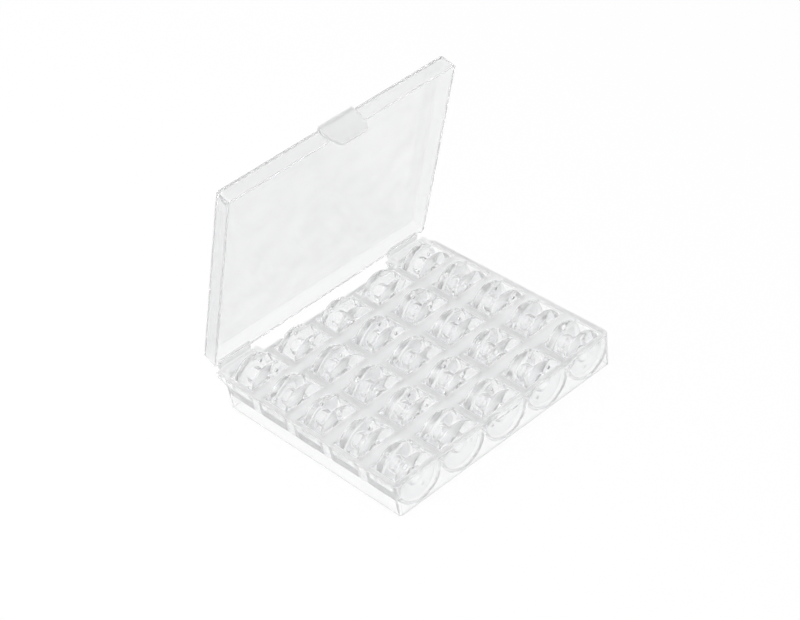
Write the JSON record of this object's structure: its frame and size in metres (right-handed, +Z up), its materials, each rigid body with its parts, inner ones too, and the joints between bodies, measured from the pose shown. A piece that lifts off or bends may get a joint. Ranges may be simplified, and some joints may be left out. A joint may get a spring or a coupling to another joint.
{
  "type": "bobbin storage box",
  "caption": "Clear hinged plastic box with a grid of half-round pockets that hold sewing-machine bobbins on edge under a shallow latching lid, shown open.",
  "frame": {"origin": "middle of the base skirt's lower rim, which the box rests on", "axes": "+Z up, +X along the hinge line, +Y towards the hinges, -Y towards the latch side"},
  "size_m": [0.125, 0.1223, 0.1272],
  "materials": {
    "base_plastic": "gloss",
    "lid_plastic": "gloss",
    "bobbin_plastic": "gloss"
  },
  "bodies": {
    "base": {"base_frame": "base_plastic", "pocket_row_1": "base_plastic", "pocket_row_2": "base_plastic", "pocket_row_3": "base_plastic", "pocket_row_4": "base_plastic", "pocket_row_5": "base_plastic"},
    "lid": {"lid": "lid_plastic"},
    "bobbin_r1c1": {"bobbin_r1c1": "bobbin_plastic"},
    "bobbin_r1c2": {"bobbin_r1c2": "bobbin_plastic"},
    "bobbin_r1c3": {"bobbin_r1c3": "bobbin_plastic"},
    "bobbin_r1c4": {"bobbin_r1c4": "bobbin_plastic"},
    "bobbin_r1c5": {"bobbin_r1c5": "bobbin_plastic"},
    "bobbin_r2c1": {"bobbin_r2c1": "bobbin_plastic"},
    "bobbin_r2c2": {"bobbin_r2c2": "bobbin_plastic"},
    "bobbin_r2c3": {"bobbin_r2c3": "bobbin_plastic"},
    "bobbin_r2c4": {"bobbin_r2c4": "bobbin_plastic"},
    "bobbin_r2c5": {"bobbin_r2c5": "bobbin_plastic"},
    "bobbin_r3c1": {"bobbin_r3c1": "bobbin_plastic"},
    "bobbin_r3c2": {"bobbin_r3c2": "bobbin_plastic"},
    "bobbin_r3c3": {"bobbin_r3c3": "bobbin_plastic"},
    "bobbin_r3c4": {"bobbin_r3c4": "bobbin_plastic"},
    "bobbin_r3c5": {"bobbin_r3c5": "bobbin_plastic"},
    "bobbin_r4c1": {"bobbin_r4c1": "bobbin_plastic"},
    "bobbin_r4c2": {"bobbin_r4c2": "bobbin_plastic"},
    "bobbin_r4c3": {"bobbin_r4c3": "bobbin_plastic"},
    "bobbin_r4c4": {"bobbin_r4c4": "bobbin_plastic"},
    "bobbin_r4c5": {"bobbin_r4c5": "bobbin_plastic"},
    "bobbin_r5c1": {"bobbin_r5c1": "bobbin_plastic"},
    "bobbin_r5c2": {"bobbin_r5c2": "bobbin_plastic"},
    "bobbin_r5c3": {"bobbin_r5c3": "bobbin_plastic"},
    "bobbin_r5c4": {"bobbin_r5c4": "bobbin_plastic"},
    "bobbin_r5c5": {"bobbin_r5c5": "bobbin_plastic"}
  },
  "joints": [
    {"name": "lid_hinge", "type": "hinge", "parent": "base", "child": "lid", "pos_m": [0, 0.059, 0.0146], "axis": [-1, 0, 0], "range_deg": [-70, 110]},
    {"name": "bobbin_r1c1_lift", "type": "slide", "parent": "base", "child": "bobbin_r1c1", "axis": [0, 0, 1], "range_m": [0, 0.018]},
    {"name": "bobbin_r1c2_lift", "type": "slide", "parent": "base", "child": "bobbin_r1c2", "axis": [0, 0, 1], "range_m": [0, 0.018]},
    {"name": "bobbin_r1c3_lift", "type": "slide", "parent": "base", "child": "bobbin_r1c3", "axis": [0, 0, 1], "range_m": [0, 0.018]},
    {"name": "bobbin_r1c4_lift", "type": "slide", "parent": "base", "child": "bobbin_r1c4", "axis": [0, 0, 1], "range_m": [0, 0.018]},
    {"name": "bobbin_r1c5_lift", "type": "slide", "parent": "base", "child": "bobbin_r1c5", "axis": [0, 0, 1], "range_m": [0, 0.018]},
    {"name": "bobbin_r2c1_lift", "type": "slide", "parent": "base", "child": "bobbin_r2c1", "axis": [0, 0, 1], "range_m": [0, 0.018]},
    {"name": "bobbin_r2c2_lift", "type": "slide", "parent": "base", "child": "bobbin_r2c2", "axis": [0, 0, 1], "range_m": [0, 0.018]},
    {"name": "bobbin_r2c3_lift", "type": "slide", "parent": "base", "child": "bobbin_r2c3", "axis": [0, 0, 1], "range_m": [0, 0.018]},
    {"name": "bobbin_r2c4_lift", "type": "slide", "parent": "base", "child": "bobbin_r2c4", "axis": [0, 0, 1], "range_m": [0, 0.018]},
    {"name": "bobbin_r2c5_lift", "type": "slide", "parent": "base", "child": "bobbin_r2c5", "axis": [0, 0, 1], "range_m": [0, 0.018]},
    {"name": "bobbin_r3c1_lift", "type": "slide", "parent": "base", "child": "bobbin_r3c1", "axis": [0, 0, 1], "range_m": [0, 0.018]},
    {"name": "bobbin_r3c2_lift", "type": "slide", "parent": "base", "child": "bobbin_r3c2", "axis": [0, 0, 1], "range_m": [0, 0.018]},
    {"name": "bobbin_r3c3_lift", "type": "slide", "parent": "base", "child": "bobbin_r3c3", "axis": [0, 0, 1], "range_m": [0, 0.018]},
    {"name": "bobbin_r3c4_lift", "type": "slide", "parent": "base", "child": "bobbin_r3c4", "axis": [0, 0, 1], "range_m": [0, 0.018]},
    {"name": "bobbin_r3c5_lift", "type": "slide", "parent": "base", "child": "bobbin_r3c5", "axis": [0, 0, 1], "range_m": [0, 0.018]},
    {"name": "bobbin_r4c1_lift", "type": "slide", "parent": "base", "child": "bobbin_r4c1", "axis": [0, 0, 1], "range_m": [0, 0.018]},
    {"name": "bobbin_r4c2_lift", "type": "slide", "parent": "base", "child": "bobbin_r4c2", "axis": [0, 0, 1], "range_m": [0, 0.018]},
    {"name": "bobbin_r4c3_lift", "type": "slide", "parent": "base", "child": "bobbin_r4c3", "axis": [0, 0, 1], "range_m": [0, 0.018]},
    {"name": "bobbin_r4c4_lift", "type": "slide", "parent": "base", "child": "bobbin_r4c4", "axis": [0, 0, 1], "range_m": [0, 0.018]},
    {"name": "bobbin_r4c5_lift", "type": "slide", "parent": "base", "child": "bobbin_r4c5", "axis": [0, 0, 1], "range_m": [0, 0.018]},
    {"name": "bobbin_r5c1_lift", "type": "slide", "parent": "base", "child": "bobbin_r5c1", "axis": [0, 0, 1], "range_m": [0, 0.018]},
    {"name": "bobbin_r5c2_lift", "type": "slide", "parent": "base", "child": "bobbin_r5c2", "axis": [0, 0, 1], "range_m": [0, 0.018]},
    {"name": "bobbin_r5c3_lift", "type": "slide", "parent": "base", "child": "bobbin_r5c3", "axis": [0, 0, 1], "range_m": [0, 0.018]},
    {"name": "bobbin_r5c4_lift", "type": "slide", "parent": "base", "child": "bobbin_r5c4", "axis": [0, 0, 1], "range_m": [0, 0.018]},
    {"name": "bobbin_r5c5_lift", "type": "slide", "parent": "base", "child": "bobbin_r5c5", "axis": [0, 0, 1], "range_m": [0, 0.018]}
  ]
}
